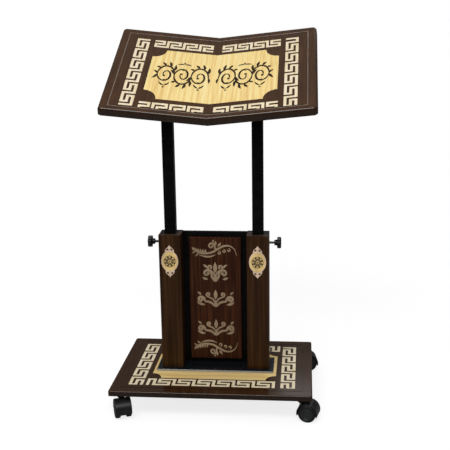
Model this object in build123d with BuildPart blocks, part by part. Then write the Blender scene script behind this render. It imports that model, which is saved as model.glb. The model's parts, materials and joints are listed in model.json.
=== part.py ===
from build123d import *
import os
from math import cos, radians, sin, tan

# Rolling, height-adjustable book stand. Units are millimetres, +Z is up.
# The origin is on the floor, under the middle of the whole stand's bounding box; +X is the reader's right and
# the reader stands on the -Y side. A base board on four twin-wheel casters carries two hollow columns with a
# panel between them. Two square tubes slide in the columns and carry two book leaves joined in a shallow V.

# ---------------------------------------------------------------- driving dimensions
caster_height = 52.0        # floor to the underside of the base board
base_size = (450.0, 300.0, 12.0)
base_corner_r = 5.0
base_edge_r = 3.0
stand_y = -14.3             # middle of the base; centres the bounding box on the origin

deck_plate_size = (272.0, 80.0, 4.0)
column_x = 100.0            # column centre to the plane of symmetry
column_side = 50.0
column_wall = 12.0
column_height = 319.0
column_edge_r = 2.0

board_size = (150.0, 9.0, 319.0)      # black board between the columns: width, thickness, height
board_front = 12.0                    # its front face, behind the columns' middle plane
panel_size = (120.0, 9.0, 296.0)      # decorated panel on the front of the black board
panel_lift = 11.0                     # bottom of the panel above the bottom of the board

tube_side = 25.0
tube_wall = 1.5
tube_corner_r = 2.5
tube_insertion = 90.0       # length of tube inside the column at rest
plug_flange = 3.0
plug_spigot = 15.0

leaf_size = (231.0, 326.0, 18.0)
leaf_tilt = 30.5            # slope towards the reader, degrees
leaf_vee = 7.0              # rise of each leaf away from the fold, degrees
leaf_corner_r = 9.0
leaf_edge_r = 8.0
fold_front_y = stand_y - 93.0
fold_front_z = 657.5

inlay_t = 0.8               # veneer and key-pattern inlays, flush with the boards
groove_w = 1.6
groove_depth = 0.8

knob_drop = 21.0            # lock screw axis below the top of the columns
stud_r = 3.0
stud_start = 0.2            # gap between the stud's tip and the tube
stud_length = 37.5
hub_start = 12.0            # knob hub beyond the column's outer face
hub_length = 6.5
hub_r = 6.5
head_length = 9.0
lobe_count = 6
lobe_circle_r = 10.9
lobe_r = 3.6
knob_body_spare = 1.2       # the knob's round body reaches this far past the lobes' centres

stem_inset = (24.0, 23.0)   # caster stems from the base's side and front edges
wheel_r = 20.0
wheel_w = 11.5
wheel_gap = 0.5             # between a wheel and the hood's web
web_w = 12.0
trail = 16.0                # stem axis to axle
hood_gap = 1.0
hood_t = 2.2
boss_r = 8.0
stem_r = 4.0
axle_r = 3.0
running_gap = 0.05          # radial clearance of shafts that turn
press_gap = 0.02            # radial clearance of shafts that are driven in
caster_plate_t = 2.0
caster_plate_side = 36.0
swivel_gap = 0.3

# ---------------------------------------------------------------- derived places
deck_z = caster_height + base_size[2]
column_z = deck_z + deck_plate_size[2]
column_top = column_z + column_height
knob_z = column_top - knob_drop
tube_bottom = column_top - tube_insertion
bore = column_side - 2 * column_wall
stand = Plane(origin=(0, stand_y, 0), x_dir=(1, 0, 0), z_dir=(0, 0, 1))
desk = Plane(origin=(0, fold_front_y, fold_front_z), x_dir=(1, 0, 0),
             z_dir=(0, -sin(radians(leaf_tilt)), cos(radians(leaf_tilt))))

SIDES = {"left": -1, "right": 1}

os.makedirs("parts", exist_ok=True)


def save(piece, name):
    """Labels a finished piece and writes its STEP file."""
    piece.part.label = name
    export_step(piece.part, f"parts/{name}.step")


def stand_plane(x=0.0, y=0.0, z=0.0):
    """Horizontal plane at a point given from the middle of the base, with z from the floor."""
    return stand.offset(z).move(Location((x, y, 0)))


def leaf_plane(side, height=0.0):
    """Plane of a leaf's reading face: local x runs outwards to the right, y up the slope, z out of the face."""
    rise = side * sin(radians(leaf_vee))
    run = cos(radians(leaf_vee))
    across = desk.x_dir * run + desk.z_dir * rise
    outward = desk.z_dir * run - desk.x_dir * rise
    return Plane(origin=desk.origin, x_dir=across, z_dir=outward).offset(height)


# ---------------------------------------------------------------- key pattern
def key_path(keys, period, pitch, row, start="bar", end="bar"):
    """Centre line of a running key pattern along +x. Rows are at y = 0, row and 2 * row.
    start is "bar" (a full cross bar), "hook" (one more cross bar a pitch before) or "tail" (no cross bar);
    end is "bar", "open" (stops level with the last short bar) or "tail" (stops under the middle bar)."""
    points = []
    if start == "hook":
        points += [(-pitch, 0), (-pitch, 2 * row)]
    for k in range(keys):
        x = k * period
        if k or start != "tail":
            points += [(x, 2 * row), (x, 0)]
        else:
            points += [(x + pitch, 0)]
        points += [(x + period - pitch, 0), (x + period - pitch, row), (x + pitch, row), (x + pitch, 2 * row)]
    last = keys * period
    if end == "bar":
        points += [(last, 2 * row), (last, 0)]
    else:
        points += [(last - pitch, 2 * row)]
    return points


def key_bars(points, stroke, place):
    """Groups a path's straight stretches, mapped by place(), by size: {(width, height): [middle, ...]}."""
    bars = {}
    mapped = [place(x, y) for x, y in points]
    for (x0, y0), (x1, y1) in zip(mapped, mapped[1:]):
        size = (round(abs(x1 - x0) + stroke, 3), round(abs(y1 - y0) + stroke, 3))
        bars.setdefault(size, []).append(((x0 + x1) / 2, (y0 + y1) / 2))
    return bars


def draw_bars(points, stroke, place):
    """Adds a key path to the sketch in hand."""
    for (width, height), middles in key_bars(points, stroke, place).items():
        with Locations(*middles):
            Rectangle(width, height)


# ---------------------------------------------------------------- book leaves
leaf_stroke = 6.2
leaf_row = 11.6
leaf_side_outer = 186.6     # centre line of the key row nearest the leaf's outer edge
leaf_back_row = 280.5       # centre line of the key row nearest the back edge
leaf_front_row = 36.2       # centre line of the front key row nearest the veneer
leaf_front_cut = 18.6       # the front key is trimmed here, beside the groove
leaf_side_period = 42.8
leaf_cross_period = 37.7
leaf_cross_pitch = 9.6
leaf_cross_start = 154.8    # outer end of the back and front keys' first period
leaf_veneer = (145.6, 52.7, 244.0)    # half width, front edge, back edge
leaf_scoop_r = 30.0
leaf_groove = (209.0, 17.0, 302.5)    # outer line, front line, back line


def leaf_keys(side):
    """Key pattern of one leaf: side strip, back strip and the trimmed front strip."""
    with BuildSketch(leaf_plane(side)) as keys:
        outer = side * leaf_side_outer
        if side < 0:
            path = key_path(6, leaf_side_period, leaf_row, leaf_row)
            draw_bars(path, leaf_stroke, lambda x, y: (outer + y, leaf_back_row - x))
        else:
            first = leaf_back_row - 14.8
            path = key_path(6, leaf_side_period + 0.4, leaf_row, leaf_row, "bar", "open")
            draw_bars(path, leaf_stroke, lambda x, y: (outer - 2 * leaf_row + y, first - x))
            hook = [(0, 0), (0, 2 * leaf_row), (14.8, 2 * leaf_row)]
            draw_bars(hook, leaf_stroke, lambda x, y: (outer - 2 * leaf_row + y, leaf_back_row - x))
        cross = key_path(4, leaf_cross_period, leaf_cross_pitch, leaf_row, "tail", "tail")
        start = side * leaf_cross_start
        draw_bars(cross, leaf_stroke, lambda x, y: (start - side * x, leaf_back_row - y))
        front = key_path(4, leaf_cross_period, leaf_cross_pitch, leaf_row, "tail", "tail")
        draw_bars(front, leaf_stroke, lambda x, y: (start - side * x, leaf_front_row - y))
        with Locations((0, leaf_front_cut + leaf_size[1] / 2)):
            Rectangle(2 * leaf_size[0], leaf_size[1], mode=Mode.INTERSECT)
    return keys


def leaf_veneer_sketch(side):
    """Light veneer field of one leaf, with its two outer corners scooped out."""
    half, front, back = leaf_veneer
    with BuildSketch(leaf_plane(side)) as field:
        with Locations((side * half / 2, (front + back) / 2)):
            Rectangle(half, back - front)
        with Locations((side * half, front), (side * half, back)):
            Circle(leaf_scoop_r, mode=Mode.SUBTRACT)
    return field


def leaf_groove_sketch(side):
    """Fine line that frames the leaf on its three free sides."""
    outer, front, back = leaf_groove
    with BuildSketch(leaf_plane(side)) as line:
        with Locations((side * outer / 2, front), (side * outer / 2, back)):
            Rectangle(outer + groove_w, groove_w)
        with Locations((side * outer, (front + back) / 2)):
            Rectangle(groove_w, back - front)
    return line


def tube_head(side):
    """Where a tube's axis meets the underside of its bracket, as a point in space."""
    plane = leaf_plane(side, -leaf_size[2] - bracket_t)
    normal, origin = plane.z_dir, plane.origin
    x = side * column_x
    drop = (normal.X * (x - origin.X) + normal.Y * (stand_y - origin.Y)) / normal.Z
    return Vector(x, stand_y, origin.Z - drop)


bracket_t = 3.0
bracket_size = (76.0, 56.0)
bracket_hole = (29.0, 20.0)         # screw places from the bracket's middle
strap_t = 2.0
strap_reach = 62.0                  # each way from the fold, along the underside
strap_w = 30.0
strap_places = (60.0, 262.0)        # middle of each strap, up the slope
strap_holes = (26.0, 50.0)          # screws from the fold
wood_screw_r = 1.95
wood_hole_r = 2.0
wood_screw_bite = 12.0
screw_head_r = 3.8
screw_head_t = 2.2


def bracket_middle(side):
    """Middle of a bracket in its leaf's plane coordinates."""
    local = leaf_plane(side).to_local_coords(tube_head(side))
    return local.X, local.Y


def bracket_screw_places(side):
    x, y = bracket_middle(side)
    return [(x + i * bracket_hole[0], y + j * bracket_hole[1]) for i in (-1, 1) for j in (-1, 1)]


def strap_screw_places(side):
    return [(side * x, y) for x in strap_holes for y in strap_places]


def build_leaf(side, name, keys, field, line):
    """Leaf board: mitred at the fold, rounded on its free edges, pocketed for its inlays."""
    width, depth, thick = leaf_size
    plane = leaf_plane(side)
    end = Plane(origin=desk.origin, x_dir=plane.x_dir, z_dir=-plane.y_dir)
    with BuildPart() as leaf:
        with BuildSketch(end):
            with BuildLine():
                Polyline((0, 0), (side * width, 0), (side * width, -thick),
                         (-side * thick * tan(radians(leaf_vee)), -thick), close=True)
            make_face()
        extrude(amount=-depth)
        upright = leaf.edges().filter_by(Axis((0, 0, 0), plane.z_dir))
        fillet(upright.filter_by(lambda e: abs(plane.to_local_coords(e.center()).X) > width / 2), leaf_corner_r)
        face = leaf.faces().sort_by(Axis(plane.origin, plane.z_dir))[-1]
        free = face.edges().filter_by(lambda e: abs(plane.to_local_coords(e.center()).X) > 1)
        fillet(free, leaf_edge_r)
        extrude(keys.sketch, amount=-inlay_t, mode=Mode.SUBTRACT)
        extrude(field.sketch, amount=-inlay_t, mode=Mode.SUBTRACT)
        extrude(line.sketch, amount=-groove_depth, mode=Mode.SUBTRACT)
        with BuildSketch(leaf_plane(side, -thick)):
            with Locations(*bracket_screw_places(side), *strap_screw_places(side)):
                Circle(wood_hole_r)
        extrude(amount=wood_screw_bite + 1, mode=Mode.SUBTRACT)
    save(leaf, name)


for name, side in SIDES.items():
    keys = leaf_keys(side)
    with BuildPart() as key_inlay:
        extrude(keys.sketch, amount=-inlay_t)
    save(key_inlay, f"{name}_leaf_key_inlay")
    field = leaf_veneer_sketch(side)
    with BuildPart() as veneer:
        extrude(field.sketch, amount=-inlay_t)
    save(veneer, f"{name}_leaf_veneer")
    build_leaf(side, f"{name}_leaf", keys, field, leaf_groove_sketch(side))

# ---------------------------------------------------------------- brackets, straps and their screws
for name, side in SIDES.items():
    x, y = bracket_middle(side)
    with BuildPart() as bracket:
        with BuildSketch(leaf_plane(side, -leaf_size[2])):
            with Locations((x, y)):
                RectangleRounded(*bracket_size, 6)
            with Locations(*bracket_screw_places(side)):
                Circle(wood_hole_r + 0.3, mode=Mode.SUBTRACT)
        extrude(amount=-bracket_t)
    save(bracket, f"{name}_bracket")

with BuildPart() as straps:
    thick = leaf_size[2]
    for y in strap_places:
        corner = desk.from_local_coords(Vector(0, y + strap_w / 2, 0))
        across = Plane(origin=corner, x_dir=(1, 0, 0), z_dir=desk.y_dir)
        with BuildSketch(across):
            with BuildLine():
                run, rise = cos(radians(leaf_vee)), sin(radians(leaf_vee))
                reach = strap_reach
                low = thick + strap_t
                upper = [(s * (reach * run + thick * rise), thick * run - reach * rise) for s in (-1, 1)]
                lower = [(s * (reach * run + low * rise), low * run - reach * rise) for s in (1, -1)]
                Polyline(upper[0], (0, thick / run), upper[1], lower[0], (0, low / run), lower[1], close=True)
            make_face()
        extrude(amount=-strap_w)
    for side in SIDES.values():
        with BuildSketch(leaf_plane(side, -thick)):
            with Locations(*strap_screw_places(side)):
                Circle(wood_hole_r + 0.3)
        extrude(amount=-strap_t - 1, mode=Mode.SUBTRACT)
save(straps, "fold_straps")


def leaf_screws(places_of, seat, name):
    """Pan-head wood screws driven up into both leaves; seat is the plate thickness under the head."""
    with BuildPart() as screws:
        for side in SIDES.values():
            with BuildSketch(leaf_plane(side, -leaf_size[2] - seat)):
                with Locations(*places_of(side)):
                    Circle(wood_screw_r)
            extrude(amount=seat + wood_screw_bite)
            with BuildSketch(leaf_plane(side, -leaf_size[2] - seat)):
                with Locations(*places_of(side)):
                    Circle(screw_head_r)
            extrude(amount=-screw_head_t, taper=18)
    save(screws, name)


leaf_screws(bracket_screw_places, bracket_t, "bracket_screws")
leaf_screws(strap_screw_places, strap_t, "strap_screws")

# ---------------------------------------------------------------- telescoping tubes
for name, side in SIDES.items():
    head = tube_head(side)
    under = leaf_plane(side, -leaf_size[2] - bracket_t)
    foot = stand_plane(side * column_x, 0, tube_bottom + plug_flange)
    with BuildPart() as tube:
        with BuildSketch(foot):
            RectangleRounded(tube_side, tube_side, tube_corner_r)
            RectangleRounded(tube_side - 2 * tube_wall, tube_side - 2 * tube_wall, tube_corner_r - tube_wall,
                             mode=Mode.SUBTRACT)
        extrude(amount=head.Z - tube_bottom + tube_side)
        split(bisect_by=under, keep=Keep.BOTTOM)
    save(tube, f"{name}_tube")
    inner = tube_side - 2 * tube_wall
    with BuildPart() as plug:
        with BuildSketch(foot):
            RectangleRounded(tube_side, tube_side, tube_corner_r)
        extrude(amount=-plug_flange)
        with BuildSketch(foot):
            RectangleRounded(inner - 0.2, inner - 0.2, tube_corner_r - tube_wall)
            RectangleRounded(inner - 4, inner - 4, 1, mode=Mode.SUBTRACT)
        extrude(amount=plug_spigot)
        chamfer(plug.edges().group_by(Axis.Z)[0], 0.8)
    save(plug, f"{name}_tube_plug")

# ---------------------------------------------------------------- columns
insert_r = 5.0
insert_flange_r = 6.5
insert_flange_t = 1.0
column_screw_x = 17.0
column_screw_y = (column_side - column_wall) / 2
column_screw_length = 50.0
dowel_r = 3.0
dowel_length = 28.0
dowel_in_slat = 10.0
dowel_places = [(60.0, 0), (160.0, 0), (260.0, 0)]      # up the column from its foot
board_middle = board_front + board_size[1] / 2


def column_screw_places(side, rows=(-1, 1)):
    """Screws through the base into the ends of a column's front and back slats."""
    return [(side * column_x + i * column_screw_x, j * column_screw_y) for i in (-1, 1) for j in rows]


def screw_plane(side, x):
    """Plane square to a lock screw's axis, x from the middle of the stand, looking outwards."""
    return Plane(origin=(side * x, stand_y, knob_z), x_dir=(0, 1, 0), z_dir=(side, 0, 0))


def dowel_plane(side):
    """Inner face of a column, looking outwards, with local x up the column from its foot."""
    foot = (side * board_size[0] / 2, stand_y + board_middle, column_z)
    return Plane(origin=foot, x_dir=(0, 0, 1), z_dir=(side, 0, 0))


for name, side in SIDES.items():
    middle = side * column_x
    offset = (column_side - column_wall) / 2
    for part_name, direction in (("front", -1), ("back", 1)):
        with BuildPart() as slat:
            with BuildSketch(stand_plane(middle, direction * offset, column_z)):
                Rectangle(column_side, column_wall)
            extrude(amount=column_height)
            outside = slat.faces().sort_by(Axis.Y)[0 if direction < 0 else -1]
            fillet(outside.edges().filter_by(Axis.Z), column_edge_r)
            with BuildSketch(stand_plane(0, 0, column_z)):
                with Locations(*column_screw_places(side, (direction,))):
                    Circle(wood_hole_r)
            extrude(amount=column_screw_length, mode=Mode.SUBTRACT)
            if part_name == "back":
                with BuildSketch(dowel_plane(side)):
                    with Locations(*dowel_places):
                        Circle(dowel_r)
                extrude(amount=dowel_in_slat, mode=Mode.SUBTRACT)
        save(slat, f"{name}_column_{part_name}")
    for part_name, direction in (("outer", side), ("inner", -side)):
        with BuildPart() as slat:
            with BuildSketch(stand_plane(middle + direction * offset, 0, column_z)):
                Rectangle(column_wall, bore)
            extrude(amount=column_height)
            if part_name == "outer":
                with BuildSketch(screw_plane(side, column_x)):
                    Circle(insert_r)
                extrude(amount=column_side, mode=Mode.SUBTRACT)
        save(slat, f"{name}_column_{part_name}")

with BuildPart() as inserts:
    for side in SIDES.values():
        face = screw_plane(side, column_x + column_side / 2)
        with BuildSketch(face):
            Circle(insert_r - press_gap)
        extrude(amount=-column_wall)
        with BuildSketch(face):
            Circle(insert_flange_r)
        extrude(amount=insert_flange_t)
        with BuildSketch(face.offset(insert_flange_t)):
            Circle(stud_r + running_gap)
        extrude(amount=-column_wall - insert_flange_t, mode=Mode.SUBTRACT)
save(inserts, "threaded_inserts")

# ---------------------------------------------------------------- boards between the columns
with BuildPart() as back_board:
    with BuildSketch(stand_plane(0, board_middle, column_z)):
        Rectangle(board_size[0], board_size[1])
    extrude(amount=board_size[2])
    chamfer(back_board.edges().filter_by(Axis.X), 0.6)
    for side in SIDES.values():
        with BuildSketch(dowel_plane(side)):
            with Locations(*dowel_places):
                Circle(dowel_r)
        extrude(amount=-(dowel_length - dowel_in_slat), mode=Mode.SUBTRACT)
save(back_board, "back_board")

with BuildPart() as dowels:
    for side in SIDES.values():
        with BuildSketch(dowel_plane(side).offset(dowel_in_slat - press_gap)):
            with Locations(*dowel_places):
                Circle(dowel_r - press_gap)
        extrude(amount=-(dowel_length - 2 * press_gap))
    chamfer(dowels.edges().filter_by(GeomType.CIRCLE), 0.5)
save(dowels, "board_dowels")

with BuildPart() as front_panel:
    with BuildSketch(stand_plane(0, board_front - panel_size[1] / 2, column_z + panel_lift)):
        Rectangle(panel_size[0], panel_size[1])
    extrude(amount=panel_size[2])
    chamfer(front_panel.faces().sort_by(Axis.Y)[0].edges(), 0.8)
save(front_panel, "front_panel")

# ---------------------------------------------------------------- column medallions
medallion_r = (19.4, 24.8)
medallion_z = deck_z + 262.0
medallion_t = 1.0
crown_tip = 38.5            # tip above the medallion's middle
crown_foot = (9.8, 20.5)    # where the crown leaves the oval
crown_shoulder = (12.6, 29.2)
crown_neck = (3.4, 31.0)
crown_hole = (4.9, 27.7)
crown_hole_r = (2.8, 2.1)
crown_hole_lean = 28


for name, side in SIDES.items():
    middle = (side * column_x, stand_y - column_side / 2, medallion_z)
    front = Plane(origin=middle, x_dir=(1, 0, 0), z_dir=(0, -1, 0))
    foot_x, foot_y = crown_foot
    with BuildPart() as medallion:
        with BuildSketch(front):
            Ellipse(*medallion_r)
            for up in (1, -1):
                with BuildLine():
                    for way in (1, -1):
                        Bezier((way * foot_x, up * foot_y), (way * crown_shoulder[0], up * crown_shoulder[1]),
                               (way * crown_neck[0], up * crown_neck[1]), (0, up * crown_tip))
                    Line((-foot_x, up * foot_y), (foot_x, up * foot_y))
                make_face()
            for way in (-1, 1):
                for up in (-1, 1):
                    with Locations((way * crown_hole[0], up * crown_hole[1])):
                        Ellipse(*crown_hole_r, rotation=-way * up * crown_hole_lean, mode=Mode.SUBTRACT)
        extrude(amount=medallion_t)
    save(medallion, f"{name}_medallion")

# ---------------------------------------------------------------- lock screws
knob_edge_r = 1.4
knob_bore_spare = 0.3       # the knob's blind bore is this much deeper than the stud reaches
for name, side in SIDES.items():
    tip = column_x + tube_side / 2 + stud_start
    with BuildPart() as stud:
        with BuildSketch(screw_plane(side, tip)):
            Circle(stud_r)
        extrude(amount=stud_length)
        chamfer(stud.edges().filter_by(GeomType.CIRCLE), 0.5)
    save(stud, f"{name}_lock_stud")

    hub_x = column_x + column_side / 2 + hub_start
    hub = screw_plane(side, hub_x)
    bore_depth = tip + stud_length + knob_bore_spare - hub_x
    with BuildPart() as knob:
        with BuildSketch(hub):
            Circle(hub_r)
        extrude(amount=hub_length)
        with BuildSketch(hub.offset(hub_length)):
            Circle(lobe_circle_r + knob_body_spare)
            with PolarLocations(lobe_circle_r, lobe_count):
                Circle(lobe_r)
        extrude(amount=head_length)
        ends = knob.faces().sort_by(Axis.X)[-1 if side > 0 else 0]
        fillet(ends.edges(), knob_edge_r)
        with BuildSketch(hub):
            Circle(stud_r + running_gap)
        extrude(amount=bore_depth, mode=Mode.SUBTRACT)
    save(knob, f"{name}_lock_knob")

# ---------------------------------------------------------------- base
base_stroke = 6.8
base_row = 12.8
base_side_outer = 183.3      # centre line of the outer row of the side keys
base_side_period = 46.8
base_side_start = 108.9      # first cross bar of the left key, from the middle of the base
base_side_right_start = 107.0
base_side_cut = -114.2       # the side keys are trimmed here
base_front_row = 111.0       # centre line of the row nearest the front and back edges
base_cross_period = 44.8
base_cross_pitch = 11.2
base_cross_start = -130.4
base_cross_hook = 13.4
base_veneer = (142.5, 77.5)  # half width and half depth
base_scoop_r = 23.0
base_groove_inset = 21.5

with BuildSketch(stand_plane(0, 0, deck_z)) as base_keys:
    path = key_path(5, base_side_period, base_row, base_row)
    draw_bars(path, base_stroke, lambda x, y: (-base_side_outer + y, base_side_start - x))
    draw_bars(path, base_stroke, lambda x, y: (base_side_outer - y, base_side_right_start - x))
    with Locations((0, base_side_cut + base_size[1] / 2)):
        Rectangle(base_size[0], base_size[1], mode=Mode.INTERSECT)
    path = key_path(6, base_cross_period, base_cross_pitch, base_row)
    hook = [(-base_cross_hook, 0), (-base_cross_hook, 2 * base_row), (0, 2 * base_row)]
    for end in (1, -1):
        for points in (path, hook):
            draw_bars(points, base_stroke,
                      lambda x, y: (end * (base_cross_start + x), end * (y - base_front_row)))

with BuildSketch(stand_plane(0, 0, deck_z)) as base_field:
    Rectangle(2 * base_veneer[0], 2 * base_veneer[1])
    with Locations(*[(i * base_veneer[0], j * base_veneer[1]) for i in (-1, 1) for j in (-1, 1)]):
        Circle(base_scoop_r, mode=Mode.SUBTRACT)

with BuildSketch(stand_plane(0, 0, deck_z)) as base_line:
    line_w, line_d = base_size[0] - 2 * base_groove_inset, base_size[1] - 2 * base_groove_inset
    Rectangle(line_w, line_d)
    Rectangle(line_w - 2 * groove_w, line_d - 2 * groove_w, mode=Mode.SUBTRACT)

# each caster's corner of the base, and the way it trails, in degrees from +X
stems = {
    "front_left": (-1, -1, -68.0),
    "front_right": (1, -1, -14.0),
    "back_left": (-1, 1, 168.0),
    "back_right": (1, 1, 8.0),
}
stem_x = base_size[0] / 2 - stem_inset[0]
stem_y = base_size[1] / 2 - stem_inset[1]
caster_screw_reach = 13.0
caster_screw_r = 1.7
caster_screw_bite = 9.0
caster_head_r = 3.2
caster_head_t = 1.6
all_column_screws = [place for side in SIDES.values() for place in column_screw_places(side)]
all_caster_screws = [
    (i * stem_x + a * caster_screw_reach, j * stem_y + b * caster_screw_reach)
    for i, j, _ in stems.values() for a in (-1, 1) for b in (-1, 1)
]

with BuildPart() as key_inlay:
    extrude(base_keys.sketch, amount=-inlay_t)
save(key_inlay, "base_key_inlay")

with BuildPart() as veneer:
    extrude(base_field.sketch, amount=-inlay_t)
    with BuildSketch(stand_plane(0, 0, deck_z)):
        with Locations(*all_column_screws):
            Circle(wood_hole_r + 0.3)
    extrude(amount=-inlay_t, mode=Mode.SUBTRACT)
save(veneer, "base_veneer")

with BuildPart() as base_board:
    with BuildSketch(stand_plane(0, 0, caster_height)):
        Rectangle(base_size[0], base_size[1])
    extrude(amount=base_size[2])
    fillet(base_board.edges().filter_by(Axis.Z), base_corner_r)
    fillet(base_board.faces().sort_by(Axis.Z)[-1].edges(), base_edge_r)
    extrude(base_keys.sketch, amount=-inlay_t, mode=Mode.SUBTRACT)
    extrude(base_field.sketch, amount=-inlay_t, mode=Mode.SUBTRACT)
    extrude(base_line.sketch, amount=-groove_depth, mode=Mode.SUBTRACT)
    with BuildSketch(stand_plane(0, 0, caster_height)):
        with Locations(*all_column_screws):
            Circle(wood_hole_r + 0.3)
    extrude(amount=base_size[2], mode=Mode.SUBTRACT)
    with BuildSketch(stand_plane(0, 0, caster_height)):
        with Locations(*all_column_screws):
            Circle(screw_head_r + 0.4)
    extrude(amount=screw_head_t + 0.4, mode=Mode.SUBTRACT)
    with BuildSketch(stand_plane(0, 0, caster_height)):
        with Locations(*all_caster_screws):
            Circle(caster_screw_r + press_gap)
    extrude(amount=caster_screw_bite, mode=Mode.SUBTRACT)
save(base_board, "base_board")

with BuildPart() as deck_plate:
    with BuildSketch(stand_plane(0, 0, deck_z)):
        RectangleRounded(deck_plate_size[0], deck_plate_size[1], 3)
        with Locations(*all_column_screws):
            Circle(wood_hole_r + 0.3, mode=Mode.SUBTRACT)
    extrude(amount=deck_plate_size[2])
    chamfer(deck_plate.faces().sort_by(Axis.Z)[-1].outer_wire().edges(), 0.5)
save(deck_plate, "deck_plate")

with BuildPart() as column_screws:
    seat = caster_height + screw_head_t + 0.4
    with BuildSketch(stand_plane(0, 0, seat)):
        with Locations(*all_column_screws):
            Circle(screw_head_r)
    extrude(amount=-screw_head_t)
    with BuildSketch(stand_plane(0, 0, seat)):
        with Locations(*all_column_screws):
            Circle(wood_screw_r)
    extrude(amount=column_screw_length)
save(column_screws, "column_screws")

# ---------------------------------------------------------------- casters
with BuildPart() as caster_screws:
    below_plate = stand_plane(0, 0, caster_height - caster_plate_t)
    with BuildSketch(below_plate):
        with Locations(*all_caster_screws):
            Circle(caster_head_r)
    extrude(amount=-caster_head_t)
    with BuildSketch(below_plate):
        with Locations(*all_caster_screws):
            Circle(caster_screw_r)
    extrude(amount=caster_plate_t + caster_screw_bite - 1)
save(caster_screws, "caster_screws")

boss_top = 46.6
boss_bottom = 40.5
stem_tip = 28.5
collar_r = 7.0
hood_r = wheel_r + hood_gap + hood_t
tread_inner_r = 2.0
tread_outer_r = 3.0
dish_r = 14.6               # dished ring in the wheel's outer face
dish_t = 1.4
cap_r = 6.4
web_r = 16.0


def caster_plane(i, j, turn):
    """Floor point under a stem; local x points from the stem towards the axle."""
    return stand_plane(i * stem_x, j * stem_y, 0).rotated((0, 0, turn))


def axle_plane(plane, y=0.0):
    """Plane square to the axle, y from the caster's middle; local x is the trail and local y is up."""
    origin = plane.from_local_coords(Vector(trail, y, wheel_r))
    return Plane(origin=origin, x_dir=plane.x_dir, z_dir=-plane.y_dir)


def build_mount(plane, i, j, name):
    """Steel top plate with its riveted stem."""
    square = stand_plane(i * stem_x, j * stem_y, caster_height)
    with BuildPart() as mount:
        with BuildSketch(square):
            RectangleRounded(caster_plate_side, caster_plate_side, 4)
            with GridLocations(2 * caster_screw_reach, 2 * caster_screw_reach, 2, 2):
                Circle(caster_screw_r + 0.2, mode=Mode.SUBTRACT)
        extrude(amount=-caster_plate_t)
        with BuildSketch(square.offset(-caster_plate_t)):
            Circle(collar_r)
        extrude(amount=-(caster_height - caster_plate_t - boss_top - swivel_gap))
        with BuildSketch(square.offset(-caster_plate_t)):
            Circle(stem_r)
        extrude(amount=-(caster_height - caster_plate_t - stem_tip))
        chamfer(mount.edges().filter_by(GeomType.CIRCLE).group_by(Axis.Z)[0], 0.8)
    save(mount, f"caster_{name}_mount")


def build_hood(plane, name):
    """Moulded hood: a web between the wheels, a curved shell over them and the stem socket."""
    half = web_w / 2 + wheel_gap + wheel_w
    inner = wheel_r + hood_gap
    with BuildPart() as hood:
        with BuildSketch(axle_plane(plane, half)):
            Circle(hood_r)
            Circle(inner, mode=Mode.SUBTRACT)
            with Locations((0, -hood_r - 5)):
                Rectangle(3 * hood_r, 2 * hood_r, mode=Mode.SUBTRACT)
        extrude(amount=2 * half)
        shell_rim = hood.edges().filter_by(GeomType.CIRCLE).filter_by(lambda e: abs(e.radius - hood_r) < 0.01)
        fillet(shell_rim, 1.2)
        with BuildSketch(axle_plane(plane, web_w / 2)):
            Circle(hood_r - 0.6)
            with Locations((0, -hood_r - 5)):
                Rectangle(3 * hood_r, 2 * hood_r, mode=Mode.SUBTRACT)
            Circle(web_r)
        extrude(amount=web_w)
        with BuildSketch(plane.offset(boss_bottom)):
            Circle(boss_r)
        extrude(amount=boss_top - boss_bottom)
        with BuildSketch(plane.offset(boss_top)):
            Circle(stem_r + running_gap)
        extrude(amount=-(boss_top - stem_tip + swivel_gap), mode=Mode.SUBTRACT)
        with BuildSketch(axle_plane(plane, web_w / 2)):
            Circle(axle_r + press_gap)
        extrude(amount=web_w, mode=Mode.SUBTRACT)
    save(hood, f"caster_{name}_hood")


def build_axle(plane, name):
    reach = web_w / 2 + wheel_gap + wheel_w - 3
    with BuildPart() as axle:
        with BuildSketch(axle_plane(plane, reach)):
            Circle(axle_r)
        extrude(amount=2 * reach)
        chamfer(axle.edges().filter_by(GeomType.CIRCLE), 0.5)
    save(axle, f"caster_{name}_axle")


def build_wheel(plane, way, name):
    """One wheel of a pair: rounded tread, dished and capped outer face, blind bore for the axle."""
    inside = web_w / 2 + wheel_gap
    centre = plane.from_local_coords(Vector(trail, way * inside, wheel_r))
    section = Plane(origin=centre, x_dir=plane.x_dir, z_dir=plane.x_dir.cross(plane.y_dir * way))
    with BuildPart() as wheel:
        with BuildSketch(section):
            with BuildLine():
                Line((0, 0), (wheel_r - tread_inner_r, 0))
                TangentArc((wheel_r - tread_inner_r, 0), (wheel_r, tread_inner_r), tangent=(1, 0))
                Line((wheel_r, tread_inner_r), (wheel_r, wheel_w - tread_outer_r))
                shoulder = (wheel_r - tread_outer_r, wheel_w)
                TangentArc((wheel_r, wheel_w - tread_outer_r), shoulder, tangent=(0, 1))
                floor = wheel_w - dish_t
                Polyline(shoulder, (dish_r, wheel_w), (dish_r - dish_t, floor), (cap_r, floor))
                TangentArc((0, wheel_w), (cap_r, floor), tangent=(1, 0))
                Line((0, wheel_w), (0, 0))
            make_face()
        revolve(axis=Axis(centre, plane.y_dir * way))
        with BuildSketch(Plane(origin=centre, x_dir=plane.x_dir, z_dir=plane.y_dir * way)):
            Circle(axle_r + running_gap)
        extrude(amount=wheel_w - 2.6, mode=Mode.SUBTRACT)
    save(wheel, f"caster_{name}")


for name, (i, j, turn) in stems.items():
    plane = caster_plane(i, j, turn)
    build_mount(plane, i, j, name)
    build_hood(plane, name)
    build_axle(plane, name)
    build_wheel(plane, 1, f"{name}_wheel_a")
    build_wheel(plane, -1, f"{name}_wheel_b")
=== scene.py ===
import json
import math
import random

import bmesh
import bpy
from mathutils import Matrix, Vector


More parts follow.
